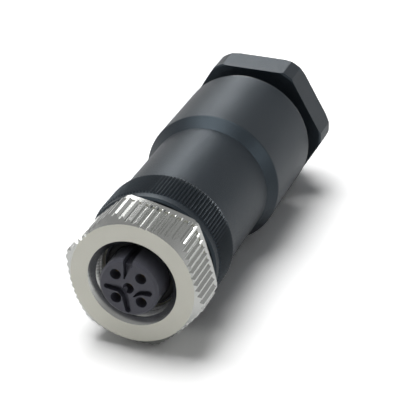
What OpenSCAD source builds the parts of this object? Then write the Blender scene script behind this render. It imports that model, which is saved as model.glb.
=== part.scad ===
// M12 circular connector, field-wired female cable end with a screwed cable gland.
// Lengths are in millimetres. The plug axis is Y: the mating face is at Y = 0 and
// faces -Y, the cable leaves along +Y, and +Z is up.

/* [Insert] */
// Diameter of the insert's nose, which enters the mating plug
nose_d = 8.3; // [8:0.05:8.6]
// How far the nose stands in front of the coupling nut
nose_proud = 1.2; // [0.4:0.1:2]
// Chamfer round the edge of the mating face
nose_edge = 0.33; // [0.1:0.01:0.5]
// Diameter of the circle through the four outer contacts
contact_circle_d = 5; // [4.6:0.1:5.2]
// Diameter of the mating pins
pin_d = 1; // [0.8:0.05:1.1]
// Depth of the contact mouths below the mating face
contact_recess = 1.6; // [0.6:0.1:2]
// Length that a mating pin enters a contact
pin_entry = 5; // [4:0.25:5.5]
// Wall of the contact tubes
contact_wall = 0.32; // [0.25:0.01:0.35]
// Width of the coding groove
key_w = 1.3; // [0.8:0.1:1.5]
// Depth of the coding groove
key_depth = 1; // [0.5:0.1:1.2]
// Depth of the moulded recesses in the mating face
recess_depth = 0.9; // [0.4:0.1:1.2]

/* [Coupling nut] */
// Nominal diameter of the coupling thread
thread_d = 12; // [11.6:0.1:12.6]
// Pitch of the coupling thread
thread_pitch = 1; // [0.75:0.25:1]
// Width of the coupling nut from corner to corner
nut_across = 20; // [19:0.25:22]
// How far the middle of each soft flat lies inside the corners
nut_flat_drop = 1; // [0.6:0.1:1.2]
// Radius to which each soft flat is bowed
nut_bow_r = 45; // [30:1:60]
// Length of the coupling nut
nut_len = 6.6; // [6:0.1:9]
// Outer diameter of the nut's flat front face
nut_face_d = 17.4; // [16.5:0.1:17.8]
// Number of knurl teeth round the nut
nut_teeth = 60; // [36:6:72]
// Depth of the nut's knurl
nut_knurl = 0.4; // [0.2:0.02:0.45]
// Plain collar behind the nut's knurl
nut_collar = 1; // [0.5:0.1:1.5]
// Thickness of the inner lip that pulls the insert forward
nut_lip = 1.8; // [1.2:0.1:2.2]

/* [Grip ring] */
// Diameter of the grip ring over its knurl
ring_d = 18.9; // [18.4:0.1:19.5]
// Length of the grip ring's knurled collar
ring_len = 6.6; // [5:0.1:8]
// Number of fine teeth round the grip ring
ring_teeth = 120; // [80:10:140]
// Depth of the grip ring's teeth
ring_knurl = 0.3; // [0.15:0.05:0.4]
// Plain band in front of the grip ring's teeth
ring_band = 1.3; // [0.8:0.1:2]
// Diameter of the spigot that screws into the sleeve
spigot_d = 15.2; // [14.8:0.1:15.4]
// Pitch of the thread between grip ring and sleeve
spigot_pitch = 1.5; // [1:0.25:2]
// Length of the spigot's thread
spigot_len = 7; // [6:0.25:8]

/* [Terminals] */
// Diameter of the terminal block
block_d = 12.6; // [12.2:0.1:12.8]
// Length of the terminal block
block_len = 12.8; // [12:0.1:14]
// Radius at which the terminals stand
terminal_r = 4; // [3.8:0.1:4.2]
// Width of each terminal body
terminal_w = 2.3; // [2:0.1:2.5]
// Depth of each terminal body, towards the axis
terminal_depth = 2.6; // [2.4:0.1:2.8]
// Length of each terminal body
terminal_len = 6; // [5:0.5:6.5]
// Diameter of the wire hole in each terminal
wire_d = 1.5; // [1:0.1:1.6]
// Diameter of the terminal screws' heads
screw_head_d = 2; // [1.6:0.1:2.1]
// Diameter of the terminal screws' threads
screw_d = 1.2; // [1:0.1:1.4]

/* [Sleeve] */
// Diameter of the sleeve's front section
front_d = 17.8; // [17.4:0.1:18.2]
// Length of the sleeve's front section
front_len = 15.7; // [12:0.1:20]
// Axial length of the shoulder between the two sections
shoulder_len = 1.7; // [0.8:0.1:3]
// Diameter of the sleeve's rear section
rear_d = 20.2; // [19.4:0.1:22]
// Length of the sleeve's rear section
rear_len = 15; // [14:0.1:20]
// Wall between the wiring space and the cable seal
seal_wall = 1.5; // [1:0.1:2]
// Diameter of the wiring space inside the sleeve
space_d = 14.6; // [13.4:0.1:14.8]
// Rounding of the sleeve's rear rim
rim_r = 0.4; // [0.2:0.05:0.6]

/* [Gland] */
// Largest cable that the gland takes
cable_d = 8; // [6:0.25:8.4]
// Outer diameter of the gland's thread
gland_thread_d = 15.2; // [15:0.1:15.6]
// Pitch of the gland's thread
gland_pitch = 1.411; // [1:0.001:1.5]
// Length of the threaded neck behind the sleeve
neck_len = 6.2; // [5.5:0.1:7]
// Outer diameter of the rubber seal
seal_d = 12.5; // [12:0.1:12.8]
// Length of the rubber seal
seal_len = 5.2; // [4.5:0.1:6]
// Number of fingers on the clamping cage
fingers = 8; // [6:1:10]
// Width of the slots between the fingers
finger_gap = 0.8; // [0.5:0.1:1]
// Gap between the sleeve's rear rim and the gland nut as supplied
gland_gap = 2.8; // [2.6:0.1:3.2]
// Distance across the gland nut's flats
gland_flats = 20; // [19:0.1:20.1]
// Distance across the gland nut's trimmed corners
gland_corners = 22.2; // [21.6:0.1:22.6]
// Length of the gland nut's hexagon
gland_hex_len = 5; // [4:0.1:5.5]
// Length of the rounded end behind the hexagon
gland_dome_len = 4.4; // [3.8:0.1:6]
// Thickness of the thrust ring
thrust_t = 0.9; // [0.6:0.1:1.2]

/* [Clearances] */
// Radial clearance of turning fits and screwed fits
run_clear = 0.06; // [0.02:0.01:0.1]
// Clearance between pieces that are pushed together
seat_clear = 0.03; // [0.02:0.01:0.06]
// Gap between the coupling nut and the grip ring
nut_gap = 0.3; // [0.15:0.05:0.5]
// Gap between the grip ring and the sleeve when screwed home
home_gap = 0.1; // [0.05:0.05:0.3]

/* [Hidden] */
$fn = 96;

// Insert: stations are distances behind the mating face
nose_r = nose_d / 2;
neck_r = nose_r + 0.5;
nut_z = nose_proud;
nut_end = nut_z + nut_len;
lip_z = nut_end - nut_lip;
flange_end = lip_z - 0.1;
flange_z = flange_end - 0.8;
minor_r = thread_d / 2 - 0.5413 * thread_pitch;
major_r = thread_d / 2 + 0.05;
flange_r = minor_r - 0.16;
seal_section = 0.5;
seat_r = nose_r - 0.2;
seat_z = flange_z - 2 * seal_section - 0.1;
mouth_r = pin_d / 2 + 0.28;
throat_r = pin_d / 2 + 0.12;
socket_bore_r = pin_d / 2 + 0.03;
socket_r = socket_bore_r + contact_wall;
socket_len = pin_entry + 1.4;
socket_end = contact_recess + socket_len;
stem_r = 0.55;

// Coupling nut
nut_r = nut_across / 2;
nut_turn = 43;
nut_tooth_end = nut_len - nut_collar;
nut_chamfer = nut_r + 0.3 - nut_face_d / 2;

// Grip ring
ring_z = nut_end + nut_gap;
ring_end = ring_z + ring_len;
ring_r = ring_d / 2;
ring_root = ring_r - ring_knurl;
ring_wall_end = ring_z + 4.3;
carrier_end = ring_wall_end + 1;
spigot_r = spigot_d / 2;
spigot_end = ring_end + spigot_len;

// Contacts and terminals: one terminal to each fifth of the block
contact_r = contact_circle_d / 2;
CONTACTS = [
    [contact_r, 45, 18], [contact_r, 135, 162], [contact_r, 225, 234], [contact_r, 315, 306],
    [0, 90, 90]
];
strap_z = carrier_end + 0.15;
strap_t = 0.6;
strap_w = 0.9;
block_z = strap_z + strap_t + 0.15;
block_r = block_d / 2;
block_end = block_z + block_len;
terminal_end = block_end - 0.8;
terminal_z = terminal_end - terminal_len;
terminal_out = terminal_r + terminal_depth / 2;
wire_r = wire_d / 2;
screw_z = terminal_end - terminal_len * 0.4;
screw_head_r = screw_head_d / 2;
screw_head_t = 0.8;

// Sleeve
sleeve_z = ring_end + home_gap;
front_r = front_d / 2;
front_end = sleeve_z + front_len;
shoulder_end = front_end + shoulder_len;
rear_r = rear_d / 2;
sleeve_end = shoulder_end + rear_len;
thread_seat_r = spigot_r + run_clear;
seal_ring_section = 0.35;
seal_ring_r = spigot_r + seal_ring_section + seat_clear;
seal_ring_z = sleeve_z + seal_ring_section + seat_clear;
seal_pocket_r = seal_ring_r + seal_ring_section + seat_clear;
space_r = space_d / 2;
space_z = spigot_end + 0.6;
neck_end = sleeve_end + neck_len;
gland_r = gland_thread_d / 2;
seal_r = seal_d / 2;
seal_seat_r = seal_r + seat_clear;
cable_r = cable_d / 2;
passage_r = cable_r + 0.6;
cage_end = neck_end + 0.4;
cage_len = 3.6;
cage_z = cage_end - cage_len;
seal_z = cage_z - seal_len;
space_end = seal_z - seal_wall;

// Gland nut: it can be tightened until the thrust ring meets the cage
tighten = gland_gap - 0.4;
thrust_z = cage_end + tighten + 0.05;
thrust_end = thrust_z + thrust_t;
thrust_r = gland_r - 0.55;
hex_z = sleeve_end + gland_gap;
hex_end = hex_z + gland_hex_len;
gland_end = hex_end + gland_dome_len;
gland_bore_r = gland_r + run_clear;
gland_corner_r = gland_corners / 2;

echo(travel_home_mm = spigot_len - home_gap, gland_tighten_mm = tighten, gland_off_mm = neck_end - hex_z);

// Turns the modelling axis Z onto the plug axis Y, with local +Y up
module along_axis() {
    rotate([90, 0, 180]) children();
}

module turned(profile) {
    rotate_extrude() polygon(profile);
}

module tube(z, length, outer_r, inner_r) {
    translate([0, 0, z]) difference() {
        cylinder(h = length, r = outer_r);
        translate([0, 0, -1]) cylinder(h = length + 2, r = inner_r);
    }
}

module o_ring(z, centre_r, section_r) {
    translate([0, 0, z]) rotate_extrude() translate([centre_r, 0]) circle(section_r, $fn = 32);
}

// Places children at a contact's or a terminal's station, with +X pointing outwards
module at_angle(angle, radius) {
    rotate(angle) translate([radius, 0, 0]) children();
}

// Points of an arc about a centre, from one angle to another
function arc(cx, cy, r, from, to, steps) =
    [for (i = [0:steps]) let (a = from + (to - from) * i / steps) [cx + r * cos(a), cy + r * sin(a)]];

// Radius of the coupling nut's soft hexagon at an angle from the middle of a flat
function soft_hex(angle, inset) =
    let (
        a = abs(((angle % 60) + 90) % 60 - 30),
        c = nut_bow_r - (nut_r - nut_flat_drop - inset)
    )
    min(sqrt(nut_bow_r * nut_bow_r - c * c * sin(a) * sin(a)) - c * cos(a), nut_r - inset);

// Profile points of V grooves that stand for an outer thread, from one station to another
function groove_points(from, to, r, pitch, depth) =
    [for (i = [0:floor((to - from) / pitch) - 1], s = [[0.1, 0], [0.5, depth], [0.9, 0]])
        [r - s[1], from + (i + s[0]) * pitch]];

// One tooth, as shares of its pitch: the edges of its groove's floor and of its crest
function nut_outline() =
    [for (i = [0:nut_teeth - 1], s = [[-0.1, nut_knurl], [0.1, nut_knurl], [0.38, 0], [0.62, 0]])
        let (a = (i + s[0]) * 360 / nut_teeth, r = soft_hex(a, 0) - s[1]) [r * cos(a), r * sin(a)]];

function collar_outline() =
    [for (i = [0:119]) let (a = i * 3, r = soft_hex(a, nut_knurl * 0.6)) [r * cos(a), r * sin(a)]];

function ring_outline() =
    [for (i = [0:2 * ring_teeth - 1])
        let (a = i * 180 / ring_teeth, r = i % 2 == 0 ? ring_r : ring_root - 0.04) [r * cos(a), r * sin(a)]];

module coupling_nut_blank() {
    intersection() {
        linear_extrude(nut_tooth_end) polygon(nut_outline());
        cylinder(h = nut_len, r1 = nut_face_d / 2, r2 = nut_face_d / 2 + nut_len * 1.25);
    }
    intersection() {
        translate([0, 0, nut_tooth_end - 0.01]) linear_extrude(nut_collar + 0.01) polygon(collar_outline());
        cylinder(h = nut_len, r1 = nut_r - 0.35 + nut_len * 0.35, r2 = nut_r - 0.35);
    }
}

module coupling_nut() {
    mouth = thread_d / 2 + 0.25;
    lip_in = mouth - minor_r;
    color("#c9c7bd") along_axis() translate([0, 0, nut_z]) difference() {
        rotate(nut_turn) coupling_nut_blank();
        turned([
            [0, -1], [mouth, -1], [mouth, 0], [minor_r, lip_in], [minor_r, lip_in + 0.1],
            [major_r, lip_in + 0.4], [major_r, nut_len - nut_lip],
            [neck_r + run_clear, nut_len - nut_lip],
            [neck_r + run_clear, nut_len - 0.25], [neck_r + run_clear + 0.25, nut_len],
            [neck_r + run_clear + 0.25, nut_len + 1], [0, nut_len + 1]
        ]);
    }
}

// Outline of a recess with a round end of its own radius at each of two places
function slot_outline(x1, y1, r1, x2, y2, r2) =
    let (a = atan2(y2 - y1, x2 - x1), t = acos((r1 - r2) / norm([x2 - x1, y2 - y1])))
    concat(arc(x1, y1, r1, a + t, a + 360 - t, 10), arc(x2, y2, r2, a - t, a + t, 10));

// The four moulded recesses, as places and end radii across the mating face
module face_recesses() {
    polygon([[0.6, nose_r - key_depth + 0.1], [-0.35, nose_r - key_depth + 0.1], [0.5, 1.2], [0.62, 1.25]]);
    polygon(slot_outline(3.05, -0.25, 0.38, 1.25, -0.35, 0.5));
    polygon(slot_outline(1.25, -0.35, 0.5, 0.45, -1.3, 0.5));
    polygon(slot_outline(0.45, -1.3, 0.5, 0.12, -3.35, 0.38));
    polygon(slot_outline(-2.85, -0.22, 0.45, -1.75, -0.32, 0.35));
    polygon(slot_outline(-1.75, -0.32, 0.35, -0.75, -1.1, 0.1));
}

module contact_hole() {
    translate([0, 0, -0.01]) cylinder(h = contact_recess + 0.02, r1 = mouth_r, r2 = throat_r, $fn = 32);
    translate([0, 0, contact_recess]) cylinder(h = socket_len + 0.05, r = socket_r + seat_clear, $fn = 32);
    translate([0, 0, contact_recess]) cylinder(h = carrier_end, r = stem_r + seat_clear, $fn = 32);
}

module contact_carrier() {
    color("#7d7f8c") along_axis() difference() {
        turned([
            [0, 0], [nose_r - nose_edge, 0], [nose_r, nose_edge], [nose_r, seat_z],
            [seat_r, seat_z], [seat_r, flange_z], [flange_r, flange_z], [flange_r, flange_end], [neck_r, flange_end],
            [neck_r, carrier_end], [0, carrier_end]
        ]);
        for (c = CONTACTS) at_angle(c[1], c[0]) contact_hole();
        translate([-key_w / 2, nose_r - key_depth, -1]) cube([key_w, key_depth + 1, flange_z + 1]);
        translate([0, 0, -1]) linear_extrude(1 + recess_depth) face_recesses();
    }
}

// Turned contact: slit tube in front, stem, strap to its terminal and a tail
module socket(i) {
    c = CONTACTS[i];
    start = [c[0] * cos(c[1]), c[0] * sin(c[1])];
    stop = [terminal_r * cos(c[2]), terminal_r * sin(c[2])];
    run = norm(stop - start);
    color("#d9b45a") along_axis() {
        translate([start[0], start[1], 0]) {
            difference() {
                translate([0, 0, contact_recess]) cylinder(h = socket_len, r = socket_r, $fn = 32);
                translate([0, 0, contact_recess - 1]) cylinder(h = pin_entry + 1, r = socket_bore_r, $fn = 32);
                translate([-2, -0.06, contact_recess - 1]) cube([4, 0.12, pin_entry * 0.6 + 1]);
            }
            translate([0, 0, socket_end - 0.1])
                cylinder(h = strap_z + strap_t + 0.1 - socket_end, r = stem_r, $fn = 32);
        }
        translate([start[0], start[1], strap_z]) rotate(atan2(stop[1] - start[1], stop[0] - start[0]))
            translate([0, -strap_w / 2, 0.05]) cube([run, strap_w, strap_t - 0.1]);
        translate([stop[0], stop[1], strap_z])
            cylinder(h = terminal_z + 1 - strap_z, r = stem_r, $fn = 32);
    }
}

module terminal(i) {
    color("#c8c4b4") along_axis() at_angle(CONTACTS[i][2], terminal_r) difference() {
        translate([-terminal_depth / 2, -terminal_w / 2, terminal_z])
            cube([terminal_depth, terminal_w, terminal_len]);
        translate([0, 0, terminal_z - 1]) cylinder(h = 2 + seat_clear, r = stem_r + seat_clear, $fn = 32);
        translate([0, 0, terminal_z + 1.5]) cylinder(h = terminal_len, r = wire_r, $fn = 32);
        translate([0, 0, screw_z]) rotate([0, 90, 0]) cylinder(h = terminal_depth, r = screw_d / 2 + seat_clear, $fn = 32);
    }
}

module terminal_screw() {
    difference() {
        union() {
            translate([0.3, 0, 0]) rotate([0, 90, 0])
                cylinder(h = terminal_depth / 2 - 0.3, r = screw_d / 2, $fn = 32);
            translate([terminal_depth / 2, 0, 0]) rotate([0, 90, 0])
                cylinder(h = screw_head_t, r = screw_head_r, $fn = 32);
        }
        translate([terminal_depth / 2 + screw_head_t - 0.35, -0.15, -2]) cube([1, 0.3, 4]);
    }
}

module terminal_screws() {
    color("#b9bcc0") along_axis() for (c = CONTACTS)
        at_angle(c[2], terminal_r) translate([0, 0, screw_z]) terminal_screw();
}

module terminal_block() {
    pocket_w = terminal_w + 2 * seat_clear;
    pocket_depth = terminal_depth + 2 * seat_clear;
    color("#55585e") along_axis() difference() {
        turned([
            [0, block_z], [block_r - 0.2, block_z], [block_r, block_z + 0.2],
            [block_r, block_end - 0.5], [block_r - 0.5, block_end], [0, block_end]
        ]);
        for (c = CONTACTS) at_angle(c[2], terminal_r) {
            translate([0, 0, block_z - 1]) cylinder(h = block_len, r = stem_r + seat_clear, $fn = 32);
            translate([-pocket_depth / 2, -pocket_w / 2, terminal_z - seat_clear])
                cube([pocket_depth, pocket_w, block_len]);
            translate([0, 0, screw_z]) rotate([0, 90, 0])
                cylinder(h = block_r, r = screw_head_r + 0.08, $fn = 32);
        }
    }
}

module interface_seal() {
    color("#26282a") along_axis()
        o_ring(flange_z - seal_section - seat_clear, seat_r + seal_section + seat_clear, seal_section);
}

module grip_ring() {
    color("#34373b") along_axis() difference() {
        union() {
            turned(concat(
                [
                    [0, ring_z], [ring_root - 0.3, ring_z], [ring_root, ring_z + 0.3],
                    [ring_root, ring_end], [spigot_r, ring_end]
                ],
                groove_points(ring_end + 0.8, spigot_end, spigot_r, spigot_pitch, spigot_pitch * 0.35),
                [[spigot_r, spigot_end - 0.15], [spigot_r - 0.15, spigot_end], [0, spigot_end]]
            ));
            intersection() {
                translate([0, 0, ring_z + ring_band]) linear_extrude(ring_len - ring_band - 0.05)
                    polygon(ring_outline());
                turned([
                    [0, ring_z + ring_band], [ring_root - 0.05, ring_z + ring_band],
                    [ring_r, ring_z + ring_band + 0.3], [ring_r, ring_end - 0.35],
                    [ring_root, ring_end - 0.05], [0, ring_end - 0.05]
                ]);
            }
        }
        translate([0, 0, ring_z - 1]) cylinder(h = ring_len, r = neck_r + seat_clear);
        translate([0, 0, ring_wall_end]) cylinder(h = spigot_len + ring_len, r = block_r + seat_clear);
    }
}

module housing_seal() {
    color("#26282a") along_axis() o_ring(seal_ring_z, seal_ring_r, seal_ring_section);
}

module housing_sleeve() {
    color("#3a3d41") along_axis() difference() {
        turned(concat(
            [[0, sleeve_z], [front_r - 0.2, sleeve_z], [front_r, sleeve_z + 0.2], [front_r, front_end]],
            arc(rear_r - 0.6, shoulder_end + 0.2, 0.6, -45, 0, 4),
            arc(rear_r - rim_r, sleeve_end - rim_r, rim_r, 0, 90, 5),
            [[gland_r, sleeve_end]],
            groove_points(sleeve_end + 0.2, neck_end, gland_r, gland_pitch, gland_pitch * 0.38),
            [[gland_r, neck_end - 0.15], [gland_r - 0.15, neck_end], [0, neck_end]]
        ));
        turned([
            [0, sleeve_z - 1], [seal_pocket_r, sleeve_z - 1],
            [seal_pocket_r, seal_ring_z + seal_ring_section + seat_clear],
            [thread_seat_r, seal_ring_z + seal_ring_section + seat_clear],
            [thread_seat_r, space_z], [space_r, space_z + 0.4], [space_r, space_end - 0.6],
            [space_r - 0.6, space_end], [passage_r, space_end], [passage_r, seal_z],
            [seal_seat_r, seal_z], [seal_seat_r, neck_end + 1], [0, neck_end + 1]
        ]);
    }
}

module gland_seal() {
    color("#1f2123") along_axis() difference() {
        turned([
            [0, seal_z], [seal_r - 0.3, seal_z], [seal_r, seal_z + 0.3],
            [seal_r, cage_z - 0.3], [seal_r - 0.3, cage_z], [0, cage_z]
        ]);
        translate([0, 0, seal_z - 1]) cylinder(h = seal_len + 2, r = cable_r);
    }
}

module clamp_cage() {
    slot_z = cage_z + 1.2;
    color("#6b6e73") along_axis() difference() {
        turned([
            [passage_r + 0.1, cage_z], [seal_r, cage_z], [seal_r, cage_end - 0.8],
            [seal_r - 0.8, cage_end], [passage_r + 0.1, cage_end]
        ]);
        for (i = [0:fingers - 1]) rotate(i * 360 / fingers)
            translate([cable_r, -finger_gap / 2, slot_z]) cube([seal_r, finger_gap, cage_len]);
    }
}

module thrust_ring() {
    color("#9a9da2") along_axis() tube(thrust_z, thrust_t, thrust_r, passage_r + 0.2);
}

module gland_nut() {
    dome_r = gland_flats / 2 - 1.3;
    end_r = passage_r + 1.3;
    color("#3a3d41") along_axis() difference() {
        union() {
            intersection() {
                translate([0, 0, hex_z]) linear_extrude(gland_hex_len)
                    circle(r = gland_flats / 2 / cos(30), $fn = 6);
                turned([
                    [0, hex_z], [gland_corner_r - 0.25, hex_z], [gland_corner_r, hex_z + 0.25],
                    [gland_corner_r, hex_end - 0.35], [gland_corner_r - 0.5, hex_end], [0, hex_end]
                ]);
            }
            turned(concat(
                [[0, hex_end - 1], [dome_r, hex_end - 1]],
                [for (t = [0:10:90])
                    [end_r + (dome_r - end_r) * cos(t), hex_end + gland_dome_len * sin(t)]],
                [[0, gland_end]]
            ));
        }
        turned([
            [0, hex_z - 1], [gland_bore_r + 0.4, hex_z - 1], [gland_bore_r + 0.4, hex_z],
            [gland_bore_r, hex_z + 0.4], [gland_bore_r, thrust_z - 0.3],
            [thrust_r + run_clear, thrust_z - 0.3], [thrust_r + run_clear, thrust_end + seat_clear],
            [passage_r + 0.1, thrust_end + seat_clear], [passage_r + 0.1, gland_end - 0.4],
            [passage_r + 0.5, gland_end], [passage_r + 0.5, gland_end + 1], [0, gland_end + 1]
        ]);
    }
}

coupling_nut();
contact_carrier();
socket(0);  // socket_1
socket(1);  // socket_2
socket(2);  // socket_3
socket(3);  // socket_4
socket(4);  // socket_5
terminal(0);  // terminal_1
terminal(1);  // terminal_2
terminal(2);  // terminal_3
terminal(3);  // terminal_4
terminal(4);  // terminal_5
terminal_screws();
terminal_block();
interface_seal();
grip_ring();
housing_seal();
housing_sleeve();
gland_seal();
clamp_cage();
thrust_ring();
gland_nut();
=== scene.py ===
# %% [markdown]
# # An M12 cable connector
#
# This lesson dresses a finished mechanical model: a round industrial
# connector with a knurled metal coupling nut, a moulded insert with five
# contacts, a black stepped sleeve and a cable gland.
#
# The solids come from CAD and are already exact, so Blender's work here is
# the surfaces, the light, and the one shape that is too fine for the
# solids: the screw thread inside the nut.

# %% Load the connector
import math

import bmesh
import bpy
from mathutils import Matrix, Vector


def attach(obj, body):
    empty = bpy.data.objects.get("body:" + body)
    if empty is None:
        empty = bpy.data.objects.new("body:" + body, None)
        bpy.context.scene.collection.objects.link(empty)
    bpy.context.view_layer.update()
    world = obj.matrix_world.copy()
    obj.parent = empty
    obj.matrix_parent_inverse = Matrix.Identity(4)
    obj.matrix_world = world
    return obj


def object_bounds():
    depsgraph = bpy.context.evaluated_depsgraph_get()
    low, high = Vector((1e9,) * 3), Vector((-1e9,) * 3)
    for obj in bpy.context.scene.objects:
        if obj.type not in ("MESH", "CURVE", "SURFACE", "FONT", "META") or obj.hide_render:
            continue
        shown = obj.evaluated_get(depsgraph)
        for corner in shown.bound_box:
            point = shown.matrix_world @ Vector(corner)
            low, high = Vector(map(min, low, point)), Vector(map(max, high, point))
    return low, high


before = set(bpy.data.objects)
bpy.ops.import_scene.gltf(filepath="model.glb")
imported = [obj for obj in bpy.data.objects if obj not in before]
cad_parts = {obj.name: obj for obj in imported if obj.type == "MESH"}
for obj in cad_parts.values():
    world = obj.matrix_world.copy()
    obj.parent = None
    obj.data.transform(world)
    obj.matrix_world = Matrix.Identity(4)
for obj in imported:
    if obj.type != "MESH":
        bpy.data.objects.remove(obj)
cad_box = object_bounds()
print("nodes loaded:", len(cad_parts))
print("size of the solids, mm:", [round((high - low) * 1000, 1) for low, high in zip(*cad_box)])

# %% [markdown]
# ## The camera
#
# The plug axis runs along Y and the connector lies on its side. The camera
# stands in front of the mating face, to its right and above it. A long lens
# keeps the perspective gentle, as in a catalogue picture. The camera is made
# first, so every finish is judged from the same place.

# %% Place the camera
MM = 0.001
AZIMUTH = math.radians(20.1)
ELEVATION = math.radians(28.6)
CAMERA_PLACE = Vector((72.0, -169.7, 113.4)) * MM

look = Vector((
    -math.sin(AZIMUTH) * math.cos(ELEVATION),
    math.cos(AZIMUTH) * math.cos(ELEVATION),
    -math.sin(ELEVATION),
))
camera_data = bpy.data.cameras.new("Camera")
camera_data.sensor_width = 36.0
camera_data.lens = 150.2
camera_data.clip_start = 0.01
camera_data.clip_end = 20.0
camera = bpy.data.objects.new("Camera", camera_data)
camera.location = CAMERA_PLACE
camera.rotation_euler = look.to_track_quat("-Z", "Y").to_euler()
bpy.context.scene.collection.objects.link(camera)
bpy.context.scene.camera = camera
print("camera looks along", [round(v, 3) for v in look])

# %% [markdown]
# ## Helpers for materials
#
# A material is a small graph of nodes. Three short helpers make the graphs
# below easy to read: one adds a node and fills its sockets, one makes a
# material around a Principled BSDF, and one turns a node's output into a
# colour between two shades.

# %% Node helpers
def add_node(tree, kind, **sockets):
    """Adds a node and sets its inputs. A socket value links, anything else is a constant."""
    node = tree.nodes.new(kind)
    for name, value in sockets.items():
        socket = node.inputs[name.replace("_", " ")]
        if isinstance(value, bpy.types.NodeSocket):
            tree.links.new(value, socket)
        else:
            socket.default_value = value
    return node


def math_node(tree, operation, a, b=0.0):
    """Adds a Math node and returns its output."""
    node = tree.nodes.new("ShaderNodeMath")
    node.operation = operation
    for socket, value in zip(node.inputs, (a, b)):
        if isinstance(value, bpy.types.NodeSocket):
            tree.links.new(value, socket)
        else:
            socket.default_value = value
    return node.outputs[0]


def shade_between(tree, mask, dark, light):
    """Mixes two linear colours by a mask from 0 to 1."""
    mix = tree.nodes.new("ShaderNodeMix")
    mix.data_type = "RGBA"
    tree.links.new(mask, mix.inputs["Factor"])
    mix.inputs["A"].default_value = (*dark, 1)
    mix.inputs["B"].default_value = (*light, 1)
    return mix.outputs["Result"]


def new_material(name):
    """Makes a material and returns it with its tree and its Principled BSDF."""
    material = bpy.data.materials.new(name)
    material.use_nodes = True
    tree = material.node_tree
    return material, tree, tree.nodes["Principled BSDF"]


print("node helpers ready")

# %% [markdown]
# ## Shared effects
#
# Moulded plastic has a fine pitted grain from the spark-eroded mould, and
# all real surfaces carry slow changes of tone. Both effects are used in
# several finishes, so they share one node group with named inputs, built
# once. The group reads Object coordinates, which are metres here, so the
# grain keeps its real size on every piece.

# %% Grain group
def new_group(name, inputs, outputs):
    """Makes a node group and returns it with its input and output nodes."""
    group = bpy.data.node_groups.new(name, "ShaderNodeTree")
    for label, default in inputs:
        socket = group.interface.new_socket(label, in_out="INPUT", socket_type="NodeSocketFloat")
        socket.default_value = default
    for label in outputs:
        group.interface.new_socket(label, in_out="OUTPUT", socket_type="NodeSocketFloat")
    return group, group.nodes.new("NodeGroupInput"), group.nodes.new("NodeGroupOutput")


def noise(tree, coordinates, scale, detail=2.0, roughness=0.5):
    """Noise of a scale in bumps per metre, as a value near 0.5."""
    node = add_node(
        tree, "ShaderNodeTexNoise",
        Vector=coordinates, Scale=scale, Detail=detail, Roughness=roughness,
    )
    return node.outputs["Fac"]


grain, grain_in, grain_out = new_group(
    "Moulded grain",
    [("Grains per metre", 6000.0), ("Patches per metre", 90.0)],
    ["Height", "Patches"],
)
grain_place = grain.nodes.new("ShaderNodeTexCoord").outputs["Object"]
fine = noise(grain, grain_place, grain_in.outputs["Grains per metre"], detail=3.0, roughness=0.6)
patches = noise(grain, grain_place, grain_in.outputs["Patches per metre"])
grain.links.new(fine, grain_out.inputs["Height"])
grain.links.new(patches, grain_out.inputs["Patches"])
print("group made:", grain.name)


def place_group(tree, group, **values):
    """Puts a group in a material with its own values."""
    node = tree.nodes.new("ShaderNodeGroup")
    node.node_tree = group
    for name, value in values.items():
        node.inputs[name.replace("_", " ")].default_value = value
    return node


# %% [markdown]
# ## The plastics
#
# The sleeve, the grip ring and the gland nut are one black nylon with a
# satin grain. The insert is a smoother grey nylon with a violet cast. A
# moulded finish is mostly roughness: the colour hardly changes, while the
# small bumps break up each reflection.

# %% Moulded plastics
GRAIN_DEPTH = 0.05 * MM


def moulded_plastic(name, dark, light, roughness, bump, grains=6000.0):
    """A moulded finish: two close shades, a fine grain and uneven gloss."""
    material, tree, shader = new_material(name)
    effect = place_group(tree, grain, Grains_per_metre=grains, Patches_per_metre=110.0)
    colour = shade_between(tree, effect.outputs["Height"], dark, light)
    tree.links.new(colour, shader.inputs["Base Color"])
    gloss = math_node(tree, "MULTIPLY_ADD", effect.outputs["Patches"], 0.12)
    gloss.node.inputs[2].default_value = roughness - 0.06
    tree.links.new(gloss, shader.inputs["Roughness"])
    relief = add_node(
        tree, "ShaderNodeBump",
        Height=effect.outputs["Height"], Strength=bump, Distance=GRAIN_DEPTH,
    )
    tree.links.new(relief.outputs["Normal"], shader.inputs["Normal"])
    return material


black_nylon = moulded_plastic("Black nylon", (0.012, 0.015, 0.019), (0.022, 0.026, 0.032), 0.36, 1.0)
nylon_shader = black_nylon.node_tree.nodes["Principled BSDF"]
nylon_shader.inputs["Specular Tint"].default_value = (0.66, 0.85, 1.0, 1)
nylon_shader.inputs["Specular IOR Level"].default_value = 0.6

polished_nylon, polished_tree, polished_shader = new_material("Polished black nylon")
polished_shader.inputs["Base Color"].default_value = (0.02, 0.023, 0.028, 1)
polished_shader.inputs["Roughness"].default_value = 0.08
polished_shader.inputs["IOR"].default_value = 2.0
insert_nylon = moulded_plastic(
    "Insert nylon", (0.070, 0.072, 0.095), (0.110, 0.112, 0.140), 0.45, 0.25, 9000.0
)
grey_nylon = moulded_plastic("Grey nylon", (0.060, 0.064, 0.072), (0.090, 0.095, 0.105), 0.5, 0.3)
print("plastics made:", black_nylon.name, insert_nylon.name, grey_nylon.name)
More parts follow.
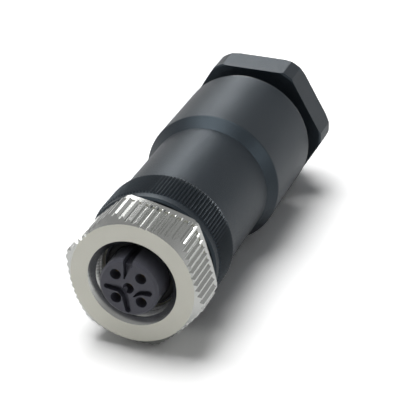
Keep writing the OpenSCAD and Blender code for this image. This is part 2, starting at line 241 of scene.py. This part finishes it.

# %% [markdown]
# ## The metals
#
# The coupling nut is die-cast and nickel plated. Its turned front face is
# satin, because the tool left fine rings, while the knurl, the chamfer and
# the bore are bright. One material does both: a mask that is 1 on faces
# that look along the plug axis raises the roughness there. The same mask
# also gives that face a lighter, slightly warm colour; the lightness is a painted sheen.

# %% Metals
def plated_metal(name, colour, worn, roughness, patch_scale=160.0):
    """A plated metal with slow changes of tone and gloss."""
    material, tree, shader = new_material(name)
    effect = place_group(tree, grain, Grains_per_metre=4000.0, Patches_per_metre=patch_scale)
    tone = shade_between(tree, effect.outputs["Patches"], worn, colour)
    tree.links.new(tone, shader.inputs["Base Color"])
    gloss = math_node(tree, "MULTIPLY_ADD", effect.outputs["Patches"], 0.16)
    gloss.node.inputs[2].default_value = roughness - 0.08
    tree.links.new(gloss, shader.inputs["Roughness"])
    shader.inputs["Metallic"].default_value = 1.0
    return material


FACES_FORWARD = -0.995


def nickel_with_painted_front_sheen():
    """Nickel plate: bright all over, satin and slightly warm on the turned front face, whose lighter colour
    is a painted sheen.
    """
    material, tree, shader = new_material("Nickel plate")
    effect = place_group(tree, grain, Grains_per_metre=4000.0, Patches_per_metre=200.0)
    normal = tree.nodes.new("ShaderNodeNewGeometry").outputs["True Normal"]
    along = add_node(tree, "ShaderNodeSeparateXYZ", Vector=normal).outputs["Y"]
    front_face_satin_and_sheen = math_node(tree, "LESS_THAN", along, FACES_FORWARD)
    # the forward faces get a lighter colour here, a painted sheen, besides their satin roughness
    tone = shade_between(tree, front_face_satin_and_sheen, (0.66, 0.67, 0.65), (0.74, 0.735, 0.665))
    tree.links.new(tone, shader.inputs["Base Color"])
    spread = math_node(tree, "MULTIPLY", front_face_satin_and_sheen, 0.42)
    uneven = math_node(tree, "MULTIPLY_ADD", effect.outputs["Patches"], 0.08)
    uneven.node.inputs[2].default_value = 0.12
    tree.links.new(math_node(tree, "ADD", spread, uneven), shader.inputs["Roughness"])
    shader.inputs["Metallic"].default_value = 1.0
    return material


nickel = nickel_with_painted_front_sheen()
gold = plated_metal("Gold plate", (0.85, 0.66, 0.28), (0.72, 0.54, 0.22), 0.25)
terminal_brass = plated_metal("Terminal brass", (0.70, 0.66, 0.52), (0.60, 0.56, 0.45), 0.3)
steel = plated_metal("Zinc plated steel", (0.62, 0.64, 0.67), (0.50, 0.52, 0.55), 0.28)
print("metals made:", nickel.name, gold.name, terminal_brass.name, steel.name)

# %% [markdown]
# ## Rubber
#
# Seals are matt black rubber: a dark base, high roughness and a faint
# moulded texture.

# %% Rubber
rubber = moulded_plastic("Seal rubber", (0.012, 0.012, 0.013), (0.022, 0.022, 0.024), 0.7, 0.3, 5000.0)
print("rubber made:", rubber.name)

# %% [markdown]
# ## Dress the solids
#
# Each solid keeps its mesh and only changes its material. The table below
# is the parts list of the real connector, piece by piece.

# %% Give each piece its finish
finishes = {
    "coupling_nut": nickel,
    "contact_carrier": insert_nylon,
    "terminal_screws": steel,
    "terminal_block": grey_nylon,
    "interface_seal": rubber,
    "grip_ring": black_nylon,
    "housing_seal": rubber,
    "housing_sleeve": black_nylon,
    "gland_seal": rubber,
    "clamp_cage": grey_nylon,
    "thrust_ring": grey_nylon,
    "gland_nut": black_nylon,
}
for number in range(1, 6):
    finishes[f"socket_{number}"] = gold
    finishes[f"terminal_{number}"] = terminal_brass
for node_name, finish in finishes.items():
    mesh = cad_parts[node_name].data
    mesh.materials.clear()
    mesh.materials.append(finish)
print("pieces dressed:", len(finishes))

# %% [markdown]
# ## The coupling thread
#
# The nut's solid is a plain bore at the thread's outer radius. The real
# nut has an M12x1 thread: ridges of 60 degrees that wind inwards, one
# millimetre for each turn. A ridge that follows a helix is made here as a
# strip of mesh: at each small step round the axis it places the profile's
# points, and it joins them to the step before.

# %% Wind a thread ridge
def helix_ridge(name, root_r, crest_r, pitch, start, end, steps_per_turn=72):
    """A thread ridge on the Y axis between two stations. A crest inside the root makes an inner thread."""
    turns = (end - start) / pitch
    steps = int(turns * steps_per_turn)
    # the profile: each point is a station within the pitch and a radius
    profile = [(-0.47, root_r), (-0.08, crest_r), (0.08, crest_r), (0.47, root_r)]
    mesh = bpy.data.meshes.new(name)
    shape = bmesh.new()
    rows = []
    for step in range(steps + 1):
        angle = 2 * math.pi * step / steps_per_turn
        centre = start + pitch * step / steps_per_turn
        # the ridge fades in and out over a third of a turn, as a cut thread does
        fade = min(1.0, 3 * step / steps_per_turn, 3 * (steps - step) / steps_per_turn)
        row = []
        for place, radius in profile:
            r = root_r + (radius - root_r) * fade
            y = centre + place * pitch * max(fade, 0.05)
            row.append(shape.verts.new((r * math.cos(angle) * MM, y * MM, r * math.sin(angle) * MM)))
        rows.append(row)
    for one, two in zip(rows, rows[1:]):
        for i in range(len(profile) - 1):
            shape.faces.new((one[i], one[i + 1], two[i + 1], two[i]))
    shape.normal_update()
    shape.to_mesh(mesh)
    shape.free()
    ridge = bpy.data.objects.new(name, mesh)
    bpy.context.scene.collection.objects.link(ridge)
    return ridge


RIDGE_START, RIDGE_END = 2.75, 5.1
thread_d = 12.0
thread_pitch = 1.0
thread_root = thread_d / 2 + 0.06
thread_crest = thread_d / 2 - 0.5413 * thread_pitch
coupling_thread = helix_ridge(
    "coupling_thread", thread_root, thread_crest, thread_pitch, RIDGE_START, RIDGE_END
)
coupling_thread.data.materials.append(nickel)
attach(coupling_thread, "nut")
print("thread turns:", round((RIDGE_END - RIDGE_START) / thread_pitch, 2))
print("thread faces:", len(coupling_thread.data.polygons))

# %% [markdown]
# ## The sleeve's rear lip
#
# The mould closes at the rear edge of the sleeve and leaves a fine polished
# lip there. It catches the light as a thin bright crescent. A ring with a
# round section, sunk into the solid's rounded edge, gives that line.

# %% Make the rear lip
def round_ring(name, station, middle_r, tube_r, steps=144, sides=12):
    """A ring round the Y axis with a round section. Lengths are in millimetres."""
    mesh = bpy.data.meshes.new(name)
    shape = bmesh.new()
    rows = []
    for step in range(steps):
        turn = 2 * math.pi * step / steps
        row = []
        for side in range(sides):
            around = 2 * math.pi * side / sides
            r = middle_r + tube_r * math.cos(around)
            y = station + tube_r * math.sin(around)
            row.append(shape.verts.new((r * math.cos(turn) * MM, y * MM, r * math.sin(turn) * MM)))
        rows.append(row)
    for step in range(steps):
        one, two = rows[step], rows[(step + 1) % steps]
        for side in range(sides):
            after = (side + 1) % sides
            shape.faces.new((one[side], one[after], two[after], two[side])).smooth = True
    bmesh.ops.recalc_face_normals(shape, faces=shape.faces)
    shape.to_mesh(mesh)
    shape.free()
    ring = bpy.data.objects.new(name, mesh)
    bpy.context.scene.collection.objects.link(ring)
    return ring


LIP_STATION, LIP_MIDDLE_R, LIP_TUBE_R = 46.98, 9.92, 0.17
sleeve_lip = round_ring("sleeve_lip", LIP_STATION, LIP_MIDDLE_R, LIP_TUBE_R)
sleeve_lip.data.materials.append(polished_nylon)
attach(sleeve_lip, "sleeve")
print("lip faces:", len(sleeve_lip.data.polygons))

# %% [markdown]
# ## The studio
#
# A large pale floor carries the soft shadow. Its material has a second
# face: rays from the camera see pure white with the shadow in it, while
# the object is lit by the floor's plain colour.

# %% Floor
floor_level = cad_box[0][2]
FLOOR_HALF = 3.0


def studio_floor():
    """A large square floor under the connector."""
    mesh = bpy.data.meshes.new("studio_floor")
    shape = bmesh.new()
    corners = [(-1, -1), (1, -1), (1, 1), (-1, 1)]
    shape.faces.new([shape.verts.new((x * FLOOR_HALF, y * FLOOR_HALF, floor_level)) for x, y in corners])
    shape.to_mesh(mesh)
    shape.free()
    plane = bpy.data.objects.new("studio_floor", mesh)
    bpy.context.scene.collection.objects.link(plane)
    return plane


floor = studio_floor()
floor_paint, floor_tree, floor_shader = new_material("Floor paint")
ray = floor_tree.nodes.new("ShaderNodeLightPath")
PLAIN_PAINT, SEEN_PAINT = (0.90, 0.90, 0.90), (1.6, 1.6, 1.6)
paint = shade_between(floor_tree, ray.outputs["Is Camera Ray"], PLAIN_PAINT, SEEN_PAINT)
floor_tree.links.new(paint, floor_shader.inputs["Base Color"])
floor_shader.inputs["Roughness"].default_value = 0.9
floor_shader.inputs["Specular IOR Level"].default_value = 0.0
floor.data.materials.append(floor_paint)
print("floor level, mm:", round(floor_level * 1000, 2))

# %% [markdown]
# ## The light
#
# Metal and satin plastic show what stands around them, so the studio is
# built as much for its reflections as for its light. One large softbox
# overhead lights everything and makes the shadow. Two more lamps show only
# in reflections: the one behind and to the left draws the highlight along
# the sleeve, and the one at the right brightens edges and the shoulder.

# %% Lamps
def soft_lamp(name, direction, distance, size, radiance, lights_all=True):
    """A square lamp that faces the connector. A radiance of 1 is white paper, and lengths are in metres."""
    data = bpy.data.lights.new(name, "AREA")
    data.shape = "SQUARE"
    data.size = size
    data.energy = radiance * math.pi * size * size
    lamp = bpy.data.objects.new(name, data)
    lamp.visible_diffuse = lights_all
    way = Vector(direction).normalized()
    lamp.location = middle + way * distance
    lamp.rotation_euler = (-way).to_track_quat("-Z", "Y").to_euler()
    bpy.context.scene.collection.objects.link(lamp)
    return lamp


LAMP_DISTANCE = 0.8
middle = Vector([(low + high) / 2 for low, high in zip(*cad_box)])
soft_lamp("Overhead softbox", (-0.25, 0.15, 1.0), LAMP_DISTANCE, 0.60, 4.8)
soft_lamp("Back strip", (-0.334, 0.826, 0.454), LAMP_DISTANCE, 0.22, 5.0, lights_all=False)
soft_lamp("Right lamp", (0.85, -0.15, 0.42), LAMP_DISTANCE, 0.20, 8.0, lights_all=False)

# %% [markdown]
# ## The surroundings
#
# The camera sees a pure white background. A reflection sees a grey room
# that is lighter near the horizon and darker overhead, which gives the
# metal its contrast. All other light gets only the weak fill, so that the
# shadow on the floor stays dark.

# %% World
HORIZON, OVERHEAD, FILL = 0.45, 0.20, 0.12
world = bpy.data.worlds.new("Studio")
bpy.context.scene.world = world
world.use_nodes = True
sky = world.node_tree
background = sky.nodes["Background"]
direction = sky.nodes.new("ShaderNodeTexCoord").outputs["Generated"]
height = add_node(sky, "ShaderNodeSeparateXYZ", Vector=direction).outputs["Z"]
mirrored = add_node(sky, "ShaderNodeMapRange", Value=height, From_Max=0.5, To_Min=HORIZON, To_Max=OVERHEAD)
ray = sky.nodes.new("ShaderNodeLightPath")
room = math_node(sky, "MULTIPLY_ADD", ray.outputs["Is Glossy Ray"], mirrored.outputs["Result"])
room.node.inputs[2].default_value = FILL
sky.links.new(math_node(sky, "MAXIMUM", room, ray.outputs["Is Camera Ray"]), background.inputs["Strength"])
background.inputs["Color"].default_value = (1, 1, 1, 1)
bpy.context.scene.view_settings.view_transform = "Standard"
print("world ready:", world.name)
